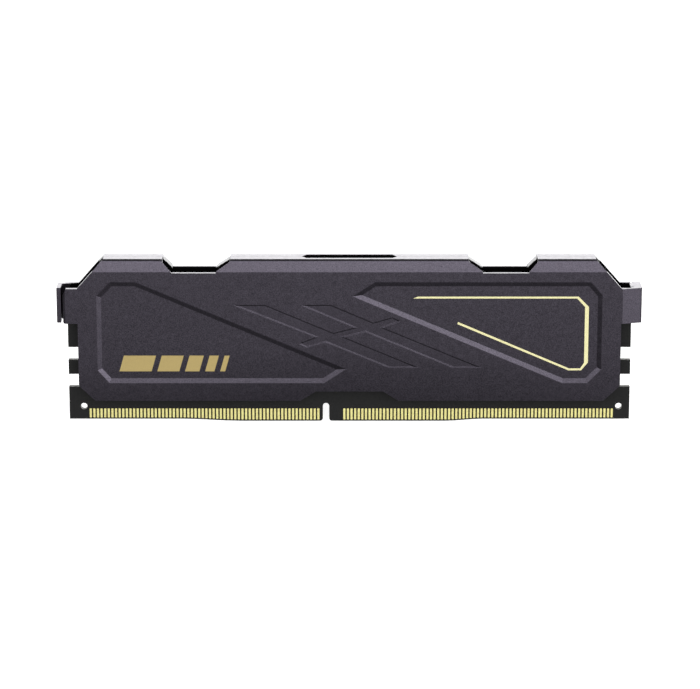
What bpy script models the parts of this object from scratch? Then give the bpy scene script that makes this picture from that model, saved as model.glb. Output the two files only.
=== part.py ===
"""Memory module: a notched circuit board with edge contacts inside a two-shell heat spreader.

The module stands on its contact edge. X runs along the board, Y across its thickness (the
printed front faces -Y) and Z is up from the lowest stretch of the contact edge. Y = 0 is the
middle of the board. Every size below is in millimetres; MM turns it into metres.
"""

from math import asin, atan2, cos, degrees, pi, radians, sin, tan

import bmesh
import bpy
from mathutils import Vector

MM = 0.001

# Circuit board
BOARD_HALF = 133.35 / 2
BOARD_THICK = 1.4
BOARD_TOP = 31.25
END_EDGE_Z = 0.5              # the contact edge is stepped: the ends stay this much higher
STEP_LEFT = (-39.8, -26.0)    # where the left step starts and ends
STEP_RIGHT = (22.6, 32.0)
STEP_POINTS = 5
KEY_X = -5.575
KEY_HALF = 0.75
KEY_TOP = 4.4
KEY_MOUTH = 0.6
SIDE_NOTCHES = (10.0, 16.6)   # heights of the notch centres
SIDE_NOTCH_HALF = 1.55
SIDE_NOTCH_DEPTH = 2.8
HOLE_RADIUS = 0.8
HOLES = ((-63.2, 3.6), (64.1, 3.6))

# Edge contacts
CONTACT_PITCH = 0.8613
CONTACT_WIDTH = 0.58
CONTACT_TOP = 3.05
CONTACT_FOOT = 0.3            # bare board below each contact
CONTACT_THICK = 0.04
CONTACT_GAP = 0.01
CONTACT_TIE = 0.1             # height of the strip that joins the contacts of a group
CONTACT_GROUPS = (("left", -61.634, 64), ("right", -1.19, 75))

# Heat spreader: the shells are modelled with their outer face towards -Y
SHELL_FACE = -3.9             # outer face
SHELL_SHEET = 1.15            # thickness of the face plate
FLANGE_SHEET = 1.2            # thickness of the crest flange and its bevel
CREST_Z = 40.05
CREST_HALF_DEPTH = 2.58       # half of the flat top
CREST_BEND = 0.85             # outer radius between the bevel and the flat top
CREST_BEND_POINTS = 7
BEVEL_FOOT_Z = 37.15
SEAM_GAP = 0.06
SHELL_FOOT_Z = 5.8
SHELL_SIDE = 64.05
SIDE_FOOT_Z = 9.5             # the lower corners are cut off between here and FOOT_END
FOOT_END = 60.2
FOOT_ARCH = (11.65, 7.95)     # half widths of the shallow arch in the lower edge
FOOT_ARCH_Z = 8.1
CREST_END = 57.93             # the crest flange stops here, square
FRONT_RECESS = ((43.97, 40.05), (43.92, 39.4), (42.2, 37.5), (41.9, 36.85))
REAR_RECESS = ((43.95, 40.05), (43.78, 39.4), (41.9, 37.5), (41.6, 36.85))
RECESS_INNER = ((31.45, 36.85), (31.05, 37.5), (28.2, 39.4), (28.0, 40.05))
RECESS_LONGER = 0.28          # the recess on the right, seen from the front, is this much longer
RELIEF_FOOT_Z = 37.3
RELIEF_SKIN = 0.35            # past the flange the front bevel runs on as a thin skin
LIP_SHEET = 0.95              # turned-in lips along the rear shell's recess walls
LIP_DEPTH = (-3.1, -0.33)
LIP_OVER = 0.25               # a lip runs on this far past both ends of its wall
SLOT_HALF = 10.1
SLOT_TIP = 11.25
SLOT_FRONT_DEPTH = 1.55       # from the seam into the front shell
SLOT_REAR_DEPTH = 1.95
TRIM_OVER = 2.0               # how far the cutting outline runs past the crest

# Recessed panels and bars pressed into the face
PANEL_DEPTH = 0.45
PANEL_RUN = 1.02              # width of the sloping wall
PANEL_BLEND = 0.04
PANEL_PIVOT_Z = 22.45         # the right panel is the left one turned half round about this height
BARS_DEPTH = 0.18
BARS_RUN = 0.22
BARS_BLEND = 0.03
BARS_PIVOT_Z = 22.55
BARS_FOOT_Z = 14.0
BARS_FOOT_X = (31.0, 24.4, 16.2, 9.3)   # corners along the foot of the lower bars

# Ear on one end and hook on the other
FRONT_EAR_END = 67.48
REAR_EAR_END = 66.6           # shorter, inside the front shell's hem
FRONT_EAR_Z = (24.64, 33.08)
REAR_EAR_Z = (24.6, 33.07)
FRONT_EAR_CHAMFER = (0.8, 1.65)
REAR_EAR_CHAMFER = (0.1, 0.1)
EAR_ROUND = 0.5
EAR_EDGE = 0.6                # radius along the front ear's end
TAB_ANGLE = 16.0              # degrees
TAB_START = 64.3
TAB_SHEET = 1.25
TAB_END = 68.93
TAB_CORNER = 0.45
HEM_INNER = 66.95             # clears the end of the board
HEM_TOP_INNER = 66.28         # above the board the hem is folded wider
HEM_TOP_Z = 31.6
HEM_TOP_DEPTH = (-1.4, 2.1)   # stays in front of the rear shell's ear
HEM_REAR = 3.3
WALL_OUTER = 69.0
WALL_INNER = 68.0
WALL_REACH = 2.6
WALL_CORNER = 0.9
HOOK_ROOT = 0.6               # how far a hook reaches into the face plate
ROUND_POINTS = 5

# What sits on the board under the shells
CHIP_COUNT = 8
CHIP_SIZE = (7.5, 1.05, 11.0)
CHIP_PITCH = 14.6
CHIP_MIDDLE_GAP = 22.0        # between the two chips nearest the middle
CHIP_Z = 19.5
CHIP_CHAMFER = 0.12
SOLDER_GAP = 0.05
CAPACITOR_SIZE = (1.6, 0.6, 0.8)
CAPACITOR_Z = 27.6
RESISTOR_SIZE = (2.0, 0.45, 1.0)
RESISTOR_Z = 9.6
TIMING_MEMORY_SIZE = (3.0, 0.7, 2.0)
REGULATOR_SIZE = (4.4, 0.9, 4.4)
SUPPORT_OFFSET = 4.0          # the timing memory and the regulator lie this far off the chip line
PAD_CLEARANCE = 0.05
PAD_HALF_LENGTH = 61.0
PAD_HALF_HEIGHT = 6.5
FRONT_PAD_BACK = -1.87

# Printing on the recessed floor
PRINT_THICK = 0.04
PRINT_GAP = 0.01
BADGE_LEFT = -54.4
BADGE_BOTTOM = 12.95
BADGE_TOP = 16.8
BADGE_LEAN = 1.1
BADGE_GAP = 1.35
BADGE_WIDTHS = (7.6, 5.2, 3.4, 2.2, 1.2)

SPREADER_FINISH = ((0.055, 0.050, 0.063), 0.45, 0.75)
BOARD_FINISH = ((0.022, 0.022, 0.024), 0.55, 0.0)
GOLD_FINISH = ((0.86, 0.72, 0.34), 0.25, 1.0)
PRINT_FINISH = ((0.90, 0.82, 0.45), 0.35, 0.6)
BADGE_FINISH = ((0.50, 0.38, 0.15), 0.4, 0.6)
PACKAGE_FINISH = ((0.012, 0.012, 0.013), 0.6, 0.0)
CERAMIC_FINISH = ((0.32, 0.22, 0.13), 0.5, 0.0)
RESISTOR_FINISH = ((0.03, 0.03, 0.035), 0.5, 0.0)
PAD_FINISH = ((0.30, 0.32, 0.34), 0.9, 0.0)


# ---------------------------------------------------------------- shared helpers

def clear_scene():
    """Remove whatever the file already holds."""
    for item in list(bpy.data.objects):
        bpy.data.objects.remove(item, do_unlink=True)


def make_material(name, finish):
    """A plain Principled material from a colour, a roughness and a metallic value."""
    colour, roughness, metallic = finish
    material = bpy.data.materials.new(name)
    material.use_nodes = True
    shader = material.node_tree.nodes["Principled BSDF"]
    shader.inputs["Base Color"].default_value = (*colour, 1.0)
    shader.inputs["Roughness"].default_value = roughness
    shader.inputs["Metallic"].default_value = metallic
    return material


def add_object(name, mesh_data, finish=None):
    """Close a bmesh into a new object; without a finish it is a hidden cutter."""
    bmesh.ops.recalc_face_normals(mesh_data, faces=mesh_data.faces)
    bmesh.ops.scale(mesh_data, vec=Vector((MM, MM, MM)), verts=mesh_data.verts)
    mesh = bpy.data.meshes.new(name)
    mesh_data.to_mesh(mesh)
    mesh_data.free()
    item = bpy.data.objects.new(name, mesh)
    bpy.context.collection.objects.link(item)
    if finish is None:
        item.hide_render = True
        item.display_type = "WIRE"
    else:
        mesh.materials.append(make_material(name, finish))
    return item


def loft(name, outlines, finish=None):
    """A closed body through two or more outlines of equal length."""
    mesh_data = bmesh.new()
    rings = [[mesh_data.verts.new(point) for point in outline] for outline in outlines]
    mesh_data.faces.new(rings[0])
    mesh_data.faces.new(reversed(rings[-1]))
    for near, far in zip(rings, rings[1:]):
        for index in range(len(near)):
            after = (index + 1) % len(near)
            mesh_data.faces.new((near[index], near[after], far[after], far[index]))
    return add_object(name, mesh_data, finish)


def plate(name, outline, y_from, y_to, finish=None):
    """An outline in X and Z, given thickness along Y."""
    return loft(name, [[(x, y, z) for x, z in outline] for y in (y_from, y_to)], finish)


def column(name, outline, z_from, z_to, finish=None):
    """An outline in X and Y, raised along Z."""
    return loft(name, [[(x, y, z) for x, y in outline] for z in (z_from, z_to)], finish)


def combine(item, tool, operation):
    """Union with, cut by or keep what is inside a second object."""
    modifier = item.modifiers.new(tool.name, "BOOLEAN")
    modifier.operation = operation
    modifier.solver = "EXACT"
    modifier.object = tool


def arc(centre, radius, start, end, points=ROUND_POINTS):
    """Points along an arc, from one angle to another, both in degrees."""
    found = []
    for index in range(points):
        angle = radians(start + (end - start) * index / (points - 1))
        found.append((centre[0] + radius * cos(angle), centre[1] + radius * sin(angle)))
    return found


def half_turn(outline, pivot_z):
    """The outline turned half round about a point above the middle of the board."""
    return [(-x, 2 * pivot_z - z) for x, z in outline]


def inset(outline, distance):
    """The outline with every edge moved inwards; the points run clockwise."""
    corners = []
    count = len(outline)
    for index in range(count):
        here = Vector(outline[index])
        before = (here - Vector(outline[index - 1])).normalized()
        after = (Vector(outline[(index + 1) % count]) - here).normalized()
        inward = Vector((before.y + after.y, -before.x - after.x)).normalized()
        share = inward.dot(Vector((after.y, -after.x)))
        corners.append(tuple(here + inward * (distance / share)))
    return corners


def pocket(name, outline, depth, run, blend):
    """A cutter with sloping walls that sinks the outline into the outer face.

    A small facet of the given width softens the wall's upper and lower edge. The first ring
    lies outside the face, so that the cutter never ends flush with it.
    """
    slope = depth / run
    lip = (-blend, 0.0)
    brow = (blend, blend * slope)
    toe = (run - blend, depth - blend * slope)
    floor = (run + blend, depth)
    above = (-3 * blend, -blend * slope)
    rings = []
    for distance, sink in (above, lip, brow, toe, floor):
        rings.append([(x, SHELL_FACE + sink, z) for x, z in inset(outline, distance)])
    return loft(name, rings)


# ---------------------------------------------------------------- circuit board

def smooth_step(x, limits):
    """0 at the first limit and 1 at the second, with level ends."""
    share = min(max((x - limits[0]) / (limits[1] - limits[0]), 0.0), 1.0)
    return share * share * (3 - 2 * share)


def edge_height(x):
    """Height of the contact edge at a place along the board."""
    if x < 0:
        return END_EDGE_Z * (1 - smooth_step(x, STEP_LEFT))
    return END_EDGE_Z * smooth_step(x, STEP_RIGHT)


def edge_points(limits):
    """The stepped stretch of the contact edge, left to right."""
    width = limits[1] - limits[0]
    places = [limits[0] + width * index / (STEP_POINTS - 1) for index in range(STEP_POINTS)]
    return [(x, edge_height(x)) for x in places]


def key_points():
    """The key notch in the contact edge, left to right, with rounded mouth corners."""
    left = KEY_X - KEY_HALF
    right = KEY_X + KEY_HALF
    mouth_left = arc((left - KEY_MOUTH, KEY_MOUTH), KEY_MOUTH, -90, 0, 4)
    roof = arc((KEY_X, KEY_TOP - KEY_HALF), KEY_HALF, 180, 0, 9)
    mouth_right = arc((right + KEY_MOUTH, KEY_MOUTH), KEY_MOUTH, 180, 270, 4)
    return mouth_left + roof + mouth_right


def side_points(side):
    """One end of the board from the bottom up, with its two notches; side is 1 or -1."""
    points = [(side * BOARD_HALF, END_EDGE_Z)]
    floor_x = BOARD_HALF - SIDE_NOTCH_DEPTH
    for centre in SIDE_NOTCHES:
        low = centre - SIDE_NOTCH_HALF
        high = centre + SIDE_NOTCH_HALF
        points.append((side * BOARD_HALF, low))
        points.append((side * floor_x, low))
        points.append((side * floor_x, high))
        points.append((side * BOARD_HALF, high))
    points.append((side * BOARD_HALF, BOARD_TOP))
    return points


def make_board():
    """The circuit board with its keyed edge, latch notches and two corner holes."""
    bottom = edge_points(STEP_LEFT) + key_points() + edge_points(STEP_RIGHT)
    outline = bottom + side_points(1) + list(reversed(side_points(-1)))
    board = plate("pcb", outline, -BOARD_THICK / 2, BOARD_THICK / 2, BOARD_FINISH)
    for index, centre in enumerate(HOLES):
        ring = arc(centre, HOLE_RADIUS, 0, 337.5, 16)
        drill = plate(f"drill_{index + 1}", ring, -BOARD_THICK, BOARD_THICK)
        combine(board, drill, "DIFFERENCE")


def contact_outline(first, count):
    """A group of contacts that share a thin strip along their tops."""
    half = CONTACT_WIDTH / 2
    tie = CONTACT_TOP - CONTACT_TIE
    last = first + (count - 1) * CONTACT_PITCH
    points = [(last + half, CONTACT_TOP), (first - half, CONTACT_TOP)]
    for index in range(count):
        x = first + index * CONTACT_PITCH
        foot = edge_height(x) + CONTACT_FOOT
        if index > 0:
            points.append((x - half, tie))
        points.append((x - half, foot))
        points.append((x + half, foot))
        if index < count - 1:
            points.append((x + half, tie))
    return points


def make_contacts():
    """Both groups of edge contacts on both faces of the board."""
    near = BOARD_THICK / 2 + CONTACT_GAP
    far = near + CONTACT_THICK
    for side, first, count in CONTACT_GROUPS:
        outline = contact_outline(first, count)
        plate(f"contacts_front_{side}", outline, -near, -far, GOLD_FINISH)
        plate(f"contacts_rear_{side}", outline, near, far, GOLD_FINISH)


# ---------------------------------------------------------------- parts on the board

def make_block(name, centre_x, centre_z, size, finish, side=-1):
    """A chamfered package soldered to one face of the board; side -1 is the front."""
    width, thick, height = size
    near = side * (BOARD_THICK / 2 + SOLDER_GAP)
    low = centre_z - height / 2
    high = centre_z + height / 2
    outline = [(centre_x - width / 2, low), (centre_x - width / 2, high),
               (centre_x + width / 2, high), (centre_x + width / 2, low)]
    smaller = inset(outline, CHIP_CHAMFER)
    shoulder = near + side * (thick - CHIP_CHAMFER)
    top = near + side * thick
    levels = ((near, outline), (shoulder, outline), (top, smaller))
    loft(name, [[(x, y, z) for x, z in ring] for y, ring in levels], finish)


def chip_places():
    """Places of the memory chips along the board: two rows either side of the middle."""
    per_side = CHIP_COUNT // 2
    right = [CHIP_MIDDLE_GAP / 2 + CHIP_PITCH * index for index in range(per_side)]
    return [-x for x in reversed(right)] + right


def make_components():
    """Memory chips with a capacitor above and a resistor pack below each, and two support chips."""
    for index, x in enumerate(chip_places()):
        number = index + 1
        make_block(f"memory_chip_{number}", x, CHIP_Z, CHIP_SIZE, PACKAGE_FINISH)
        make_block(f"capacitor_{number}", x, CAPACITOR_Z, CAPACITOR_SIZE, CERAMIC_FINISH)
        make_block(f"resistor_pack_{number}", x, RESISTOR_Z, RESISTOR_SIZE, RESISTOR_FINISH)
    make_block("timing_memory", 0.0, CHIP_Z - SUPPORT_OFFSET, TIMING_MEMORY_SIZE, PACKAGE_FINISH)
    make_block("voltage_regulator", 0.0, CHIP_Z + SUPPORT_OFFSET, REGULATOR_SIZE, PACKAGE_FINISH)


def make_pads():
    """Adhesive pads: a thin one from the chips to the front shell, a thick one behind the board."""
    low = CHIP_Z - PAD_HALF_HEIGHT
    high = CHIP_Z + PAD_HALF_HEIGHT
    outline = [(-PAD_HALF_LENGTH, low), (-PAD_HALF_LENGTH, high),
               (PAD_HALF_LENGTH, high), (PAD_HALF_LENGTH, low)]
    shell_inside = SHELL_FACE + SHELL_SHEET
    plate("thermal_pad_front", outline, FRONT_PAD_BACK, shell_inside + PAD_CLEARANCE, PAD_FINISH)
    board_side = BOARD_THICK / 2 + PAD_CLEARANCE
    plate("thermal_pad_rear", outline, board_side, -shell_inside - PAD_CLEARANCE, PAD_FINISH)


# ---------------------------------------------------------------- heat spreader

def bevel_line(depth):
    """A point on the line parallel to the bevel, a given depth below it, and its direction."""
    foot = Vector((SHELL_FACE, BEVEL_FOOT_Z))
    centre = Vector((-CREST_HALF_DEPTH, CREST_Z - CREST_BEND))
    span = centre - foot
    tilt = atan2(span.y, span.x) + asin(CREST_BEND / span.length)
    along = Vector((cos(tilt), sin(tilt)))
    return foot + depth * Vector((along.y, -along.x)), along


def shell_profile():
    """Cross-section of a shell: face plate, bevel, rounded bend and crest flange."""
    start, along = bevel_line(FLANGE_SHEET)
    bevel_angle = degrees(atan2(along.y, along.x))
    bend = arc((-CREST_HALF_DEPTH, CREST_Z - CREST_BEND), CREST_BEND, 90 + bevel_angle, 90,
               CREST_BEND_POINTS)
    inner_y = SHELL_FACE + SHELL_SHEET
    inner_z = CREST_Z - FLANGE_SHEET
    knee = start + along * ((inner_y - start.x) / along.x)
    corner = start + along * ((inner_z - start.y) / along.y)
    seam = -SEAM_GAP / 2
    return ([(SHELL_FACE, 0.0), (SHELL_FACE, BEVEL_FOOT_Z)] + bend
            + [(seam, CREST_Z), (seam, inner_z), tuple(corner), tuple(knee), (inner_y, 0.0)])


def crest_recess(outer_wall, longer):
    """The notch in the crest left of the middle, from its outer corner inwards."""
    outer = [(-x - longer, z) for x, z in outer_wall]
    return outer + [(-x, z) for x, z in RECESS_INNER]


def extend_up(points):
    """Run the two end edges of a crest notch on, past the top of the crest."""
    share = TRIM_OVER / 3
    first = Vector(points[0]) + (Vector(points[0]) - Vector(points[1])) * share
    last = Vector(points[-1]) + (Vector(points[-1]) - Vector(points[-2])) * share
    return [tuple(first)] + points[1:-1] + [tuple(last)]


def shell_silhouette(ear_end, ear_z, chamfer, recesses):
    """Front view of a shell, clockwise from its left ear; the top runs past the crest.

    Both recesses are given as left ones and the second is mirrored to the right.
    """
    bottom, top = ear_z
    left = [(-SHELL_SIDE, SIDE_FOOT_Z), (-SHELL_SIDE, bottom)]
    ear_round = arc((-ear_end + EAR_ROUND, bottom + EAR_ROUND), EAR_ROUND, 270, 180)
    ear_top = [(-ear_end, top - chamfer[1]), (-ear_end + chamfer[0], top), (-SHELL_SIDE, top)]
    slope = (SHELL_SIDE - CREST_END) / (CREST_Z - top)
    peak = (CREST_END - slope * TRIM_OVER, CREST_Z + TRIM_OVER)
    recess_left = extend_up(recesses[0])
    recess_right = [(-x, z) for x, z in reversed(extend_up(recesses[1]))]
    right = [(SHELL_SIDE, top), (SHELL_SIDE, SIDE_FOOT_Z)]
    arch_foot, arch_roof = FOOT_ARCH
    foot = [(FOOT_END, SHELL_FOOT_Z), (arch_foot, SHELL_FOOT_Z), (arch_roof, FOOT_ARCH_Z),
            (-arch_roof, FOOT_ARCH_Z), (-arch_foot, SHELL_FOOT_Z), (-FOOT_END, SHELL_FOOT_Z)]
    return (left + ear_round + ear_top + [(-peak[0], peak[1])] + recess_left + recess_right
            + [peak] + right + foot)


def left_panel():
    """Outline of the left recessed panel, clockwise."""
    return [(-56.3, 34.7), (-50.3, 34.7), (-0.83, 13.6), (-5.97, 10.2), (-56.8, 10.2),
            (-59.5, 13.3), (-59.5, 31.4)]


def bars_outline():
    """Outline of the shallow crossed bars in the middle, clockwise."""
    half = [(-27.2, 29.2), (-19.8, 29.2), (-3.8, 22.4), (1.3, 23.7), (-11.4, 29.2),
            (-4.3, 29.2), (5.6, 24.9), (10.1, 26.2), (12.0, 25.25), (7.9, 23.7)]
    lower = half_turn(half, BARS_PIVOT_Z)
    # The lower bars stop a little higher than a true half turn of the upper ones would.
    for index, x in zip((0, 1, 4, 5), BARS_FOOT_X):
        lower[index] = (x, BARS_FOOT_Z)
    return half + lower


def hook_plan(end, inner, reach, corner):
    """Plan of a hook: a tab angled back from the face plate, then a wall past the board's end."""
    angle = radians(TAB_ANGLE)
    thick = TAB_SHEET / cos(angle)
    bend_x = end - corner
    bend_y = SHELL_FACE + (bend_x - TAB_START) * tan(angle) + corner / cos(angle)
    bend = arc((bend_x, bend_y), corner, TAB_ANGLE - 90, 0)
    inner_y = SHELL_FACE + (inner - TAB_START) * tan(angle) + thick
    root = SHELL_SIDE - HOOK_ROOT
    return ([(root, SHELL_FACE), (TAB_START, SHELL_FACE)] + bend
            + [(end, reach), (inner, reach), (inner, inner_y), (TAB_START, SHELL_FACE + thick),
               (root, SHELL_FACE + thick)])


def rectangle(x_from, x_to, y_from, y_to):
    """Corners of a rectangle."""
    return [(x_from, y_from), (x_to, y_from), (x_to, y_to), (x_from, y_to)]


def make_slot(depth):
    """Cutter for one shell's half of the long slot in the middle of the crest."""
    plan = [(-SLOT_TIP, 0.0), (-SLOT_HALF, -depth), (SLOT_HALF, -depth), (SLOT_TIP, 0.0),
            (SLOT_TIP, 0.5), (-SLOT_TIP, 0.5)]
    return column("crest_slot", plan, CREST_Z - 2.0, CREST_Z + 1.0)


def make_reliefs():
    """Cutters that thin the front bevel to a skin in the recesses and past the crest's ends."""
    start, along = bevel_line(RELIEF_SKIN)
    top = CREST_Z + 1.0
    skin = [tuple(start + along * ((z - start.y) / along.y)) for z in (RELIEF_FOOT_Z, top)]
    profile = skin + [(0.5, top), (0.5, RELIEF_FOOT_Z)]
    beyond = WALL_OUTER + 1.0
    inner = RECESS_INNER[2][0]
    outer = FRONT_RECESS[1][0]
    spans = [(-beyond, -CREST_END), (-outer, -inner), (inner, outer + RECESS_LONGER),
             (CREST_END, beyond)]
    return [loft(f"relief_{index + 1}", [[(x, y, z) for y, z in profile] for x in span])
            for index, span in enumerate(spans)]


def make_lips(recesses):
    """Turned-in lips along both slanted walls of each recess; half of each is trimmed away."""
    lips = []
    for side, recess in zip((1, -1), recesses):
        for start, end in ((recess[2], recess[1]), (recess[5], recess[6])):
            along = (Vector(end) - Vector(start)).normalized()
            across = Vector((-along.y, along.x)) * LIP_SHEET
            low = Vector(start) - along * LIP_OVER
            high = Vector(end) + along * LIP_OVER
            corners = [low + across, high + across, high - across, low - across]
            outline = [(side * corner.x, corner.y) for corner in corners]
            lips.append(plate(f"lip_{len(lips) + 1}", outline, *LIP_DEPTH))
    return lips


def make_shell(name, silhouette, lips, hooks, cutters):
    """A shell with its outer face towards -Y, its ear on the left and its hook on the right."""
    profile = shell_profile()
    reach = WALL_OUTER + 3.0
    shell = loft(name, [[(x, y, z) for y, z in profile] for x in (-reach, reach)], SPREADER_FINISH)
    for lip in lips:
        combine(shell, lip, "UNION")
    outline = plate(f"{name}_outline", silhouette, SHELL_FACE - 1.0, 1.0)
    combine(shell, outline, "INTERSECT")
    for hook in hooks:
        combine(shell, hook, "UNION")
    panel = left_panel()
    panel_wall = (PANEL_DEPTH, PANEL_RUN, PANEL_BLEND)
    pressed = [pocket(f"{name}_panel_left", panel, *panel_wall),
               pocket(f"{name}_panel_right", half_turn(panel, PANEL_PIVOT_Z), *panel_wall),
               pocket(f"{name}_bars", bars_outline(), BARS_DEPTH, BARS_RUN, BARS_BLEND)]
    for cutter in pressed + cutters:
        combine(shell, cutter, "DIFFERENCE")
    return [shell, outline] + lips + hooks + pressed + cutters


def make_front_shell():
    """The front shell: a flat ear on the left, an angled tab with a thick hem on the right."""
    recesses = (crest_recess(FRONT_RECESS, 0.0), crest_recess(FRONT_RECESS, RECESS_LONGER))
    silhouette = shell_silhouette(FRONT_EAR_END, FRONT_EAR_Z, FRONT_EAR_CHAMFER, recesses)
    plan = hook_plan(TAB_END, HEM_INNER, HEM_REAR, TAB_CORNER)
    tab = column("front_shell_tab", plan, *FRONT_EAR_Z)
    fold_plan = rectangle(HEM_TOP_INNER, (HEM_INNER + TAB_END) / 2, *HEM_TOP_DEPTH)
    fold = column("front_shell_fold", fold_plan, HEM_TOP_Z, FRONT_EAR_Z[1])
    centre = (EAR_EDGE - FRONT_EAR_END, SHELL_FACE + EAR_EDGE)
    past = -FRONT_EAR_END - 1.0
    edge_plan = arc(centre, EAR_EDGE, 180, 270) + [(centre[0], SHELL_FACE - 1.0),
                                                   (past, SHELL_FACE - 1.0), (past, centre[1])]
    edge = column("front_shell_ear_edge", edge_plan, FRONT_EAR_Z[0] - 1.0, FRONT_EAR_Z[1] + 1.0)
    cutters = [make_slot(SLOT_FRONT_DEPTH), edge] + make_reliefs()
    make_shell("front_shell", silhouette, [], [tab, fold], cutters)


def make_rear_shell():
    """The rear shell, built like the front one and then turned half round."""
    recesses = (crest_recess(REAR_RECESS, RECESS_LONGER), crest_recess(REAR_RECESS, 0.0))
    silhouette = shell_silhouette(REAR_EAR_END, REAR_EAR_Z, REAR_EAR_CHAMFER, recesses)
    wall = column("rear_shell_wall", hook_plan(WALL_OUTER, WALL_INNER, WALL_REACH, WALL_CORNER),
                  *REAR_EAR_Z)
    slot = make_slot(SLOT_REAR_DEPTH)
    for item in make_shell("rear_shell", silhouette, make_lips(recesses), [wall], [slot]):
        item.rotation_euler.z = pi


# ---------------------------------------------------------------- printing

def accent_outline():
    """The thin accent line along the top, end and foot of the right panel's floor."""
    outer = [(15.05, 30.7), (16.1, 31.15), (53.95, 31.15), (56.38, 28.65), (56.38, 15.1),
             (54.8, 13.2), (51.8, 13.2), (25.45, 24.5)]
    inner = [(25.6, 25.0), (51.95, 13.66), (54.55, 13.66), (55.48, 15.05), (55.48, 28.65),
             (53.6, 30.7)]
    return outer + inner


def make_prints():
    """The accent line and a row of leaning bars in the place of a badge."""
    back = SHELL_FACE + PANEL_DEPTH - PRINT_GAP
    face = back - PRINT_THICK
    plate("accent_line", accent_outline(), face, back, PRINT_FINISH)
    x = BADGE_LEFT
    for index, width in enumerate(BADGE_WIDTHS):
        outline = [(x, BADGE_BOTTOM), (x + BADGE_LEAN, BADGE_TOP),
                   (x + width + BADGE_LEAN, BADGE_TOP), (x + width, BADGE_BOTTOM)]
        plate(f"badge_bar_{index + 1}", outline, face, back, BADGE_FINISH)
        x += width + BADGE_GAP


def main():
    clear_scene()
    make_board()
    make_contacts()
    make_components()
    make_pads()
    make_front_shell()
    make_rear_shell()
    make_prints()


main()
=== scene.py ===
"""Looks for the memory module: materials, contact fingers, light and camera around the CAD frame.

Everything is in metres. X runs along the board, the printed front faces -Y and Z is up.
"""

from math import cos, pi, radians, sin

import bmesh
import bpy
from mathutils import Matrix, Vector


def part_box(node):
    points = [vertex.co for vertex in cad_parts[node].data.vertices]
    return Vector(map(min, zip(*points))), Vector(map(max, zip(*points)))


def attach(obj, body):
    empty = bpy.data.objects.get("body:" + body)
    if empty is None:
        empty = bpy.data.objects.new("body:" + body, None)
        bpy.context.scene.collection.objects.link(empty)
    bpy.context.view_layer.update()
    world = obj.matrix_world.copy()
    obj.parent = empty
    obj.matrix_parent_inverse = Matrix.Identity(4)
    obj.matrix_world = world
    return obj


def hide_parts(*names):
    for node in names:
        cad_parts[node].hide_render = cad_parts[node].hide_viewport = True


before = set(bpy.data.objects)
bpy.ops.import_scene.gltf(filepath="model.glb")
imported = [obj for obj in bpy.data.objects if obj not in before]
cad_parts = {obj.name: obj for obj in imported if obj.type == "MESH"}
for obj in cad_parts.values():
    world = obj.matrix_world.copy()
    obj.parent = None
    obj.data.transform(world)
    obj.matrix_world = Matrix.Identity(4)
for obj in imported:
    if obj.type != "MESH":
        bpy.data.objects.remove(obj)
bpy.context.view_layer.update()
MM = 0.001

# Contact fingers
FINGER_PITCH = 0.8613 * MM
FINGER_WIDTH = 0.525 * MM
FINGER_FOOT = 0.3 * MM            # bare board below each finger
FINGER_CORNER = 0.12 * MM
FINGER_CORNER_STEPS = 3
FINGER_EDGE = 0.012 * MM
FINGER_COUNTS = {"left": 64, "right": 75}
END_EDGE_Z = 0.5 * MM             # the stepped contact edge: the ends stay this much higher
STEP_LEFT = (-39.8 * MM, -26.0 * MM)
STEP_RIGHT = (22.6 * MM, 32.0 * MM)

# Fine edges: width, segments and the least angle in degrees
SHELL_EDGE = (0.025 * MM, 1, 42.0)
BOARD_EDGE = (0.04 * MM, 1, 60.0)

# Painted shade on the metal: darker low down, most of all in the middle of the length, and a little
# lighter towards the top
PAINTED_LOW_SHADE_Z = (6.5 * MM, 20.0 * MM)
PAINTED_LOW_SHADE = (0.62, 1.0)
PAINTED_LOW_SHADE_LEAN = 0.07
PAINTED_HEIGHT_SHADE_Z = (13.0 * MM, 38.0 * MM)
PAINTED_HEIGHT_SHADE = (0.94, 1.06)

# Painted shade: the near-black inside of the shells and dark strips on the floors of the recesses
INSIDE_Y = 2.78 * MM              # just behind the inner side of the face plates
INSIDE_TOP_Z = 39.3 * MM
INSIDE_END_X = 66.2 * MM          # the hooks past this keep the outer finish
CORE_Y = 1.97 * MM                # the walls of the long slot lie within this
CORE_TOP_Z = 39.97 * MM
BEVEL_FOOT_Y = 3.87 * MM          # just under the bevel's outer side
BEVEL_FOOT_Z = 37.15 * MM
BEVEL_START_Z = 37.2 * MM
BEVEL_LEAN = 0.22
RECESS_X = (31.6 * MM, 42.1 * MM)     # the level floors of the recesses in the crest
RECESS_Z = (36.72 * MM, 36.93 * MM)
RECESS_REAR_Y = 3.42 * MM
RECESS_RIM_Y = -3.76 * MM

# Board: the bare laminate shows on cut edges, this far from the middle of its thickness
LAMINATE_Y = 0.66 * MM
LAYER_SCALE = 900.0
LAYER_WAVER = 1.5

# Floor
FLOOR_SIZE = 6.0
FLOOR_Z = -0.0002
FLOOR_GLOW = 0.6

# Camera: the viewing angle and distance of a product shot from slightly above
CAMERA_ELEVATION = radians(14.716)
CAMERA_DISTANCE = 0.7398
CAMERA_TARGET = Vector((0.000137, 0.0, 0.0186))
CAMERA_LENS = 160.35
CAMERA_SENSOR = 36.0

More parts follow.
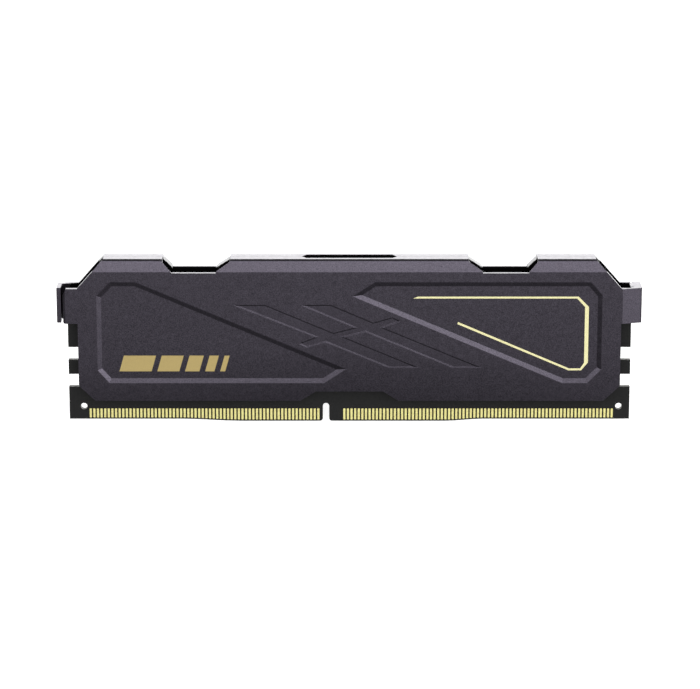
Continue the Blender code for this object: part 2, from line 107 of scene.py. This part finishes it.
# Studio light by direction. AROUND_LEVELS runs from the horizon behind (0) under the table (0.25)
# to the horizon in front (0.5), overhead (0.75) and back again (1); ACROSS_LEVELS from the far left
# (0) to the far right (1).
AROUND_LEVELS = ((0.0, 2.7), (0.05, 1.4), (0.14, 0.6), (0.25, 0.4), (0.34, 0.34), (0.41, 0.42),
                 (0.46, 0.655), (0.515, 2.1), (0.545, 3.9), (0.575, 2.6), (0.645, 2.7),
                 (0.678, 0.25), (0.75, 0.03), (0.88, 0.03), (0.915, 1.8), (0.945, 4.2), (1.0, 2.7))
AROUND_PEAK = 5.0
ACROSS_LEVELS = ((0.0, 0.35), (0.2, 0.34), (0.30, 0.25), (0.385, 0.95), (0.42, 1.04), (0.50, 1.01),
                 (0.65, 1.0), (0.70, 2.0), (0.745, 3.7), (0.785, 4.0), (0.84, 1.3), (0.9, 1.0),
                 (1.0, 1.0))
ACROSS_PEAK = 4.0
# How far the sides differ, from straight down (0) through the horizon (0.5) to overhead (1).
SIDE_REACH = ((0.0, 0.0), (0.18, 0.05), (0.27, 0.5), (0.34, 1.0), (0.46, 1.0), (0.54, 0.45),
              (0.60, 0.2), (0.66, 0.2), (0.72, 0.35), (1.0, 0.2))
BACKDROP_LEVEL = 9.0              # what the camera itself sees behind everything: plain white


# ---------------------------------------------------------------- node helpers

def rgb(red, green, blue):
    return (red, green, blue, 1.0)


class Graph:
    """A short way to build a node tree that ends in one Principled shader."""

    NOISE_SPAN = (0.3, 0.7)       # where most of a noise's values lie

    def __init__(self, name):
        self.material = bpy.data.materials.new(name)
        self.material.use_nodes = True
        self.tree = self.material.node_tree
        self.shader = self.tree.nodes["Principled BSDF"]
        self.place = self.tree.nodes.new("ShaderNodeTexCoord").outputs["Object"]

    def link(self, source, target):
        """Connect a socket, or set a plain value."""
        if isinstance(source, bpy.types.NodeSocket):
            self.tree.links.new(source, target)
        else:
            target.default_value = source

    def node(self, kind, **settings):
        made = self.tree.nodes.new(kind)
        for key, value in settings.items():
            setattr(made, key, value)
        return made

    def noise(self, scale, detail=2.0, roughness=0.5, place=None):
        made = self.node("ShaderNodeTexNoise")
        self.link(place or self.place, made.inputs["Vector"])
        made.inputs["Scale"].default_value = scale
        made.inputs["Detail"].default_value = detail
        made.inputs["Roughness"].default_value = roughness
        return made.outputs["Fac"]

    def bands(self, direction, scale, waver):
        made = self.node("ShaderNodeTexWave", wave_type="BANDS", bands_direction=direction)
        self.link(self.place, made.inputs["Vector"])
        made.inputs["Scale"].default_value = scale
        made.inputs["Distortion"].default_value = waver
        return made.outputs["Fac"]

    def math(self, operation, first, second=0.0):
        made = self.node("ShaderNodeMath", operation=operation)
        self.link(first, made.inputs[0])
        self.link(second, made.inputs[1])
        return made.outputs[0]

    def product(self, first, *others):
        for other in others:
            first = self.math("MULTIPLY", first, other)
        return first

    def above(self, value, limit):
        return self.math("GREATER_THAN", value, limit)

    def below(self, value, limit):
        return self.math("LESS_THAN", value, limit)

    def axis(self, name):
        if not hasattr(self, "split"):
            self.split = self.node("ShaderNodeSeparateXYZ")
            self.link(self.place, self.split.inputs[0])
        return self.split.outputs[name]

    def remap(self, value, span, new_span):
        """Move a value from one span to another; it stays inside the new one."""
        made = self.node("ShaderNodeMapRange")
        self.link(value, made.inputs["Value"])
        for key, number in zip(("From Min", "From Max", "To Min", "To Max"), span + new_span):
            made.inputs[key].default_value = number
        return made.outputs["Result"]

    def vary(self, noise, low, high):
        """A noise spread between two levels."""
        return self.remap(noise, self.NOISE_SPAN, (low, high))

    def mix(self, share, first, second):
        """Blend two colours; the share may be a socket."""
        made = self.node("ShaderNodeMix", data_type="RGBA")
        self.link(share, made.inputs["Factor"])
        self.link(first, made.inputs["A"])
        self.link(second, made.inputs["B"])
        return made.outputs["Result"]

    def shade(self, colour, factor):
        """A colour brightened or darkened by a socket around 1."""
        made = self.node("ShaderNodeVectorMath", operation="SCALE")
        self.link(colour[:3] if isinstance(colour, tuple) else colour, made.inputs[0])
        self.link(factor, made.inputs["Scale"])
        return made.outputs["Vector"]

    def bump(self, height, distance, strength, before=None):
        made = self.node("ShaderNodeBump")
        made.inputs["Strength"].default_value = strength
        made.inputs["Distance"].default_value = distance
        self.link(height, made.inputs["Height"])
        if before:
            self.link(before, made.inputs["Normal"])
        return made.outputs["Normal"]

    def finish(self, colour, roughness, metallic=0.0, normal=None, **extra):
        self.link(colour, self.shader.inputs["Base Color"])
        self.link(roughness, self.shader.inputs["Roughness"])
        self.link(metallic, self.shader.inputs["Metallic"])
        if normal:
            self.link(normal, self.shader.inputs["Normal"])
        for key, value in extra.items():
            self.shader.inputs[key.replace("_", " ")].default_value = value
        return self.material


# ---------------------------------------------------------------- materials

def shell_masks(graph):
    """Where the shells get painted shade in near-black, and where that painted shade is also matt,
    without gloss.
    """
    y = graph.axis("Y")
    z = graph.axis("Z")
    along = graph.math("ABSOLUTE", graph.axis("X"))
    depth = graph.math("ABSOLUTE", y)
    front = graph.below(y, 0.0)
    # Above the foot of the front bevel everything behind its outer skin counts as inside.
    drop = graph.product(graph.math("SUBTRACT", z, BEVEL_FOOT_Z), BEVEL_LEAN)
    skin = graph.math("SUBTRACT", BEVEL_FOOT_Y - INSIDE_Y, drop)
    rolled = graph.product(graph.above(z, BEVEL_START_Z), skin, front)
    inside = graph.below(depth, graph.math("ADD", rolled, INSIDE_Y))
    inside = graph.product(inside, graph.below(z, INSIDE_TOP_Z))
    core = graph.product(graph.below(depth, CORE_Y), graph.below(z, CORE_TOP_Z))
    inside = graph.math("MAXIMUM", inside, core)
    inside = graph.product(inside, graph.below(along, INSIDE_END_X))
    # The floors of the recesses get painted shade at the front rim and over most of the rear
    # shell's edge.
    floors = graph.product(graph.above(z, RECESS_Z[0]), graph.below(z, RECESS_Z[1]),
                           graph.above(along, RECESS_X[0]), graph.below(along, RECESS_X[1]))
    behind = graph.product(graph.above(y, 0.0), graph.below(depth, RECESS_REAR_Y))
    rim = graph.below(y, RECESS_RIM_Y)
    floors = graph.product(floors, graph.math("MAXIMUM", behind, rim))
    painted = graph.math("MAXIMUM", graph.product(inside, front), floors)
    return graph.math("MAXIMUM", inside, painted), painted


def anodised_metal():
    """Dark violet-grey bead-blasted aluminium, with painted shade: darker low down and near-black
    on the inside of the shells.
    """
    graph = Graph("anodised_aluminium")
    grain = graph.noise(6500.0, 1.0)
    mottle = graph.noise(900.0, 3.0)
    cloud = graph.noise(60.0)
    tone = graph.math("ADD", graph.vary(grain, 0.60, 1.40), graph.vary(mottle, -0.04, 0.04))
    tone = graph.math("ADD", tone, graph.vary(cloud, -0.02, 0.02))
    # Painted shade: the metal's colour darkens low down, most of all mid-length, and lightens
    # towards the top
    sideways = graph.product(graph.math("ABSOLUTE", graph.axis("X")), PAINTED_LOW_SHADE_LEAN)
    lowness = graph.math("ADD", graph.axis("Z"), sideways)
    tone = graph.product(tone, graph.remap(lowness, PAINTED_LOW_SHADE_Z, PAINTED_LOW_SHADE),
                         graph.remap(graph.axis("Z"), PAINTED_HEIGHT_SHADE_Z, PAINTED_HEIGHT_SHADE))
    # Painted shade: a near-black colour over the shaded inside of the shells and strips of the
    # recess floors; the painted mask also takes away the gloss there
    inside, painted = shell_masks(graph)
    outside = graph.shade(rgb(0.0555, 0.0500, 0.0630), tone)
    colour = graph.mix(inside, outside, rgb(0.008, 0.008, 0.009))
    metallic = graph.math("SUBTRACT", 1.0, painted)
    normal = graph.bump(grain, 0.003 * MM, 0.3)
    normal = graph.bump(mottle, 0.006 * MM, 0.25, normal)
    roughness = graph.vary(mottle, 0.28, 0.34)
    return graph.finish(colour, roughness, metallic, normal, Specular_IOR_Level=0.0)


def solder_mask():
    """Black mask over faint tracks, with bare glass-epoxy laminate on the board's edges."""
    graph = Graph("black_solder_mask")
    grain = graph.noise(3500.0)
    # A wave of scale 1 repeats pi / 10 times in a metre, so this gives one track to a finger.
    tracks = graph.bands("X", pi / 10 / FINGER_PITCH, 0.0)
    mask = graph.shade(rgb(0.0075, 0.0075, 0.0076), graph.vary(grain, 0.85, 1.15))
    layers = graph.bands("Y", LAYER_SCALE, LAYER_WAVER)
    fibre = graph.mix(layers, rgb(0.06, 0.057, 0.050), rgb(0.11, 0.104, 0.09))
    laminate = graph.below(graph.math("ABSOLUTE", graph.axis("Y")), LAMINATE_Y)
    colour = graph.mix(laminate, mask, fibre)
    normal = graph.bump(tracks, 0.006 * MM, 0.25)
    normal = graph.bump(grain, 0.006 * MM, 0.3, normal)
    roughness = graph.vary(grain, 0.45, 0.55)
    return graph.finish(colour, roughness, 0.0, normal, Specular_IOR_Level=0.11)


def plated_gold():
    """Smooth plated contacts with faint wipe marks along their length."""
    graph = Graph("plated_gold")
    stretch = graph.node("ShaderNodeMapping")
    graph.link(graph.place, stretch.inputs["Vector"])
    stretch.inputs["Scale"].default_value = (1.0, 1.0, 0.08)
    wipes = graph.noise(9000.0, place=stretch.outputs["Vector"])
    spots = graph.noise(1400.0)
    tone = graph.math("ADD", graph.vary(wipes, 0.98, 1.10), graph.vary(spots, -0.03, 0.03))
    colour = graph.shade(rgb(1.0, 0.89, 0.37), tone)
    roughness = graph.vary(spots, 0.24, 0.34)
    return graph.finish(colour, roughness, 1.0, graph.bump(wipes, 0.002 * MM, 0.3))


def printed_ink(name, colour, metallic):
    """A thin layer of ink that follows the metal's grain."""
    graph = Graph(name)
    grain = graph.noise(5200.0, 2.0, 0.6)
    patches = graph.noise(1500.0)
    tone = graph.math("ADD", graph.vary(grain, 0.95, 1.04), graph.vary(patches, -0.02, 0.02))
    roughness = graph.vary(patches, 0.42, 0.52)
    normal = graph.bump(grain, 0.006 * MM, 0.3)
    return graph.finish(graph.shade(colour, tone), roughness, metallic, normal)


def moulded_epoxy():
    """The matt black moulding of a chip."""
    graph = Graph("moulded_epoxy")
    grain = graph.noise(6000.0, 3.0)
    colour = graph.shade(rgb(0.013, 0.013, 0.014), graph.vary(grain, 0.8, 1.2))
    normal = graph.bump(grain, 0.01 * MM, 0.4)
    return graph.finish(colour, graph.vary(grain, 0.5, 0.65), 0.0, normal)


def end_plated(name, body_colour, body_share):
    """A ceramic body with tinned ends, for capacitors and resistor packs.

    The body takes up the given share of the chip's length.
    """
    graph = Graph(name)
    grain = graph.noise(5000.0)
    body = graph.shade(body_colour, graph.vary(grain, 0.88, 1.12))
    split = graph.node("ShaderNodeSeparateXYZ")
    graph.link(graph.node("ShaderNodeTexCoord").outputs["Generated"], split.inputs[0])
    offset = graph.math("ABSOLUTE", graph.math("SUBTRACT", split.outputs["X"], 0.5))
    ends = graph.above(offset, body_share / 2)
    colour = graph.mix(ends, body, rgb(0.55, 0.54, 0.52))
    roughness = graph.remap(ends, (0.0, 1.0), (0.5, 0.3))
    return graph.finish(colour, roughness, 0.0, graph.bump(grain, 0.008 * MM, 0.3))


def silicone_pad():
    """Soft grey filled silicone."""
    graph = Graph("silicone_pad")
    grain = graph.noise(2500.0, 3.0)
    colour = graph.shade(rgb(0.20, 0.215, 0.23), graph.vary(grain, 0.9, 1.1))
    return graph.finish(colour, 0.85, 0.0, graph.bump(grain, 0.02 * MM, 0.4))


def floor_material():
    """A pale studio floor with the faintest unevenness."""
    graph = Graph("pale_floor")
    cloud = graph.noise(8.0)
    colour = graph.shade(rgb(0.93, 0.93, 0.93), graph.vary(cloud, 0.995, 1.005))
    return graph.finish(colour, 0.9, Emission_Color=rgb(1.0, 1.0, 1.0),
                        Emission_Strength=FLOOR_GLOW)


def dress(prefixes, material):
    """Give every CAD node whose name starts with one of the prefixes a material."""
    for name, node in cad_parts.items():
        if name.startswith(prefixes):
            node.data.materials.clear()
            node.data.materials.append(material)


# ---------------------------------------------------------------- contact fingers

def smooth_step(x, limits):
    """0 at the first limit and 1 at the second, with level ends."""
    share = min(max((x - limits[0]) / (limits[1] - limits[0]), 0.0), 1.0)
    return share * share * (3 - 2 * share)


def edge_height(x):
    """Height of the board's stepped contact edge."""
    if x < 0:
        return END_EDGE_Z * (1 - smooth_step(x, STEP_LEFT))
    return END_EDGE_Z * smooth_step(x, STEP_RIGHT)


def rounded_outline(x, bottom, top, shrink):
    """A finger's outline with rounded corners, drawn in by the shrink distance."""
    half = FINGER_WIDTH / 2 - shrink
    radius = FINGER_CORNER - shrink
    points = []
    corners = ((1, bottom + shrink, 1, -90), (1, top - shrink, -1, 0), (-1, top - shrink, -1, 90),
               (-1, bottom + shrink, 1, 180))
    for side, edge, inward, start in corners:
        centre = (x + side * (half - radius), edge + inward * radius)
        for step in range(FINGER_CORNER_STEPS + 1):
            angle = radians(start + 90 * step / FINGER_CORNER_STEPS)
            points.append((centre[0] + radius * cos(angle), centre[1] + radius * sin(angle)))
    return points


def add_finger(mesh_data, x, top, back, face):
    """One finger: a thin plate with rounded corners and a softened outer rim."""
    bottom = edge_height(x) + FINGER_FOOT
    outline = rounded_outline(x, bottom, top, 0.0)
    smaller = rounded_outline(x, bottom, top, FINGER_EDGE)
    shoulder = face - (FINGER_EDGE if face > back else -FINGER_EDGE)
    rings = []
    for y, ring in ((back, outline), (shoulder, outline), (face, smaller)):
        rings.append([mesh_data.verts.new((px, y, pz)) for px, pz in ring])
    mesh_data.faces.new(rings[0])
    mesh_data.faces.new(reversed(rings[2]))
    for lower, upper in zip(rings, rings[1:]):
        for index in range(len(lower)):
            after = (index + 1) % len(lower)
            mesh_data.faces.new((lower[index], lower[after], upper[after], upper[index]))


def make_fingers(side, position, material):
    """All fingers of one group, in place of the CAD comb."""
    node = f"contacts_{side}_{position}"
    low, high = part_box(node)
    back, face = (high.y, low.y) if side == "front" else (low.y, high.y)
    mesh_data = bmesh.new()
    for index in range(FINGER_COUNTS[position]):
        add_finger(mesh_data, low.x + FINGER_WIDTH / 2 + index * FINGER_PITCH, high.z, back, face)
    bmesh.ops.recalc_face_normals(mesh_data, faces=mesh_data.faces)
    mesh = bpy.data.meshes.new(f"fingers_{side}_{position}")
    mesh_data.to_mesh(mesh)
    mesh_data.free()
    mesh.materials.append(material)
    piece = bpy.data.objects.new(mesh.name, mesh)
    bpy.context.collection.objects.link(piece)
    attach(piece, "root")
    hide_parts(node)


# ---------------------------------------------------------------- fine edges

def soften(node, width, segments, angle):
    """A small bevel on the sharp edges of a CAD node."""
    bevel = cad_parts[node].modifiers.new("soft_edges", "BEVEL")
    bevel.width = width
    bevel.segments = segments
    bevel.limit_method = "ANGLE"
    bevel.angle_limit = radians(angle)


# ---------------------------------------------------------------- studio

def add_floor():
    """A wide pale floor under the contact edge, left out of the metal's reflections."""
    bpy.ops.mesh.primitive_plane_add(size=FLOOR_SIZE, location=(0.0, 0.0, FLOOR_Z))
    floor = bpy.context.object
    floor.name = "studio_floor"
    floor.data.materials.append(floor_material())
    floor.visible_glossy = False


def light_curve(tree, value, stops, peak):
    """Share of the peak along a smooth curve; the stops are pairs of a place and a level."""
    ramp = tree.nodes.new("ShaderNodeValToRGB")
    tree.links.new(value, ramp.inputs[0])
    curve = ramp.color_ramp
    curve.interpolation = "EASE"
    while len(curve.elements) < len(stops):
        curve.elements.new(0.5)
    for element, (place, level) in zip(curve.elements, stops):
        element.position = place
        element.color = rgb(*[level / peak] * 3)
    return ramp.outputs[0]


def world_math(tree, operation, *sources):
    made = tree.nodes.new("ShaderNodeMath")
    made.operation = operation
    for socket, source in zip(made.inputs, sources):
        if isinstance(source, bpy.types.NodeSocket):
            tree.links.new(source, socket)
        else:
            socket.default_value = source
    return made.outputs[0]


def add_world():
    """A wrap-round studio: bright in front above the table, bright low behind, dark overhead."""
    world = bpy.data.worlds.new("studio")
    world.use_nodes = True
    tree = world.node_tree
    split = tree.nodes.new("ShaderNodeSeparateXYZ")
    tree.links.new(tree.nodes.new("ShaderNodeTexCoord").outputs["Generated"], split.inputs[0])
    front = world_math(tree, "MULTIPLY", split.outputs["Y"], -1.0)
    turn = world_math(tree, "ARCTAN2", split.outputs["Z"], front)
    turn = world_math(tree, "ADD", world_math(tree, "DIVIDE", turn, 2 * pi), 0.5)
    around = light_curve(tree, turn, AROUND_LEVELS, AROUND_PEAK)
    around = world_math(tree, "MULTIPLY", around, AROUND_PEAK)
    across = world_math(tree, "MULTIPLY_ADD", split.outputs["X"], 0.5, 0.5)
    sideways = light_curve(tree, across, ACROSS_LEVELS, ACROSS_PEAK)
    spread = world_math(tree, "MULTIPLY_ADD", sideways, ACROSS_PEAK, -1.0)
    height = world_math(tree, "MULTIPLY_ADD", split.outputs["Z"], 0.5, 0.5)
    reach = light_curve(tree, height, SIDE_REACH, 1.0)
    sideways = world_math(tree, "MULTIPLY_ADD", spread, reach, 1.0)
    level = world_math(tree, "MULTIPLY", around, sideways)
    camera_ray = tree.nodes.new("ShaderNodeLightPath").outputs["Is Camera Ray"]
    backdrop = world_math(tree, "MULTIPLY", camera_ray, BACKDROP_LEVEL)
    background = tree.nodes["Background"]
    tree.links.new(world_math(tree, "MAXIMUM", level, backdrop), background.inputs["Strength"])
    background.inputs["Color"].default_value = rgb(1.0, 1.0, 1.0)
    bpy.context.scene.world = world


def add_camera():
    """The camera, in front of the object and a little above it."""
    camera = bpy.data.cameras.new("camera")
    camera.lens = CAMERA_LENS
    camera.sensor_width = CAMERA_SENSOR
    camera.clip_start = 0.01
    forward = Vector((0.0, cos(CAMERA_ELEVATION), -sin(CAMERA_ELEVATION)))
    holder = bpy.data.objects.new("camera", camera)
    holder.location = CAMERA_TARGET - forward * CAMERA_DISTANCE
    holder.rotation_euler = (pi / 2 - CAMERA_ELEVATION, 0.0, 0.0)
    bpy.context.collection.objects.link(holder)
    bpy.context.scene.camera = holder


# ---------------------------------------------------------------- put together

def main():
    dress(("front_shell", "rear_shell"), anodised_metal())
    dress(("pcb",), solder_mask())
    dress(("accent_line",), printed_ink("pale_gold_ink", rgb(0.465, 0.438, 0.232), 0.0))
    dress(("badge_bar",), printed_ink("gold_ink", rgb(0.27, 0.205, 0.074), 0.3))
    dress(("memory_chip", "timing_memory", "voltage_regulator"), moulded_epoxy())
    dress(("capacitor",), end_plated("capacitor_ceramic", rgb(0.33, 0.24, 0.15), 0.56))
    dress(("resistor_pack",), end_plated("resistor_glaze", rgb(0.03, 0.03, 0.035), 0.7))
    dress(("thermal_pad",), silicone_pad())
    gold = plated_gold()
    for side in ("front", "rear"):
        for position in FINGER_COUNTS:
            make_fingers(side, position, gold)
    for shell in ("front_shell", "rear_shell"):
        soften(shell, *SHELL_EDGE)
    soften("pcb", *BOARD_EDGE)
    add_world()
    add_floor()
    add_camera()
    bpy.context.scene.view_settings.view_transform = "Standard"


main()
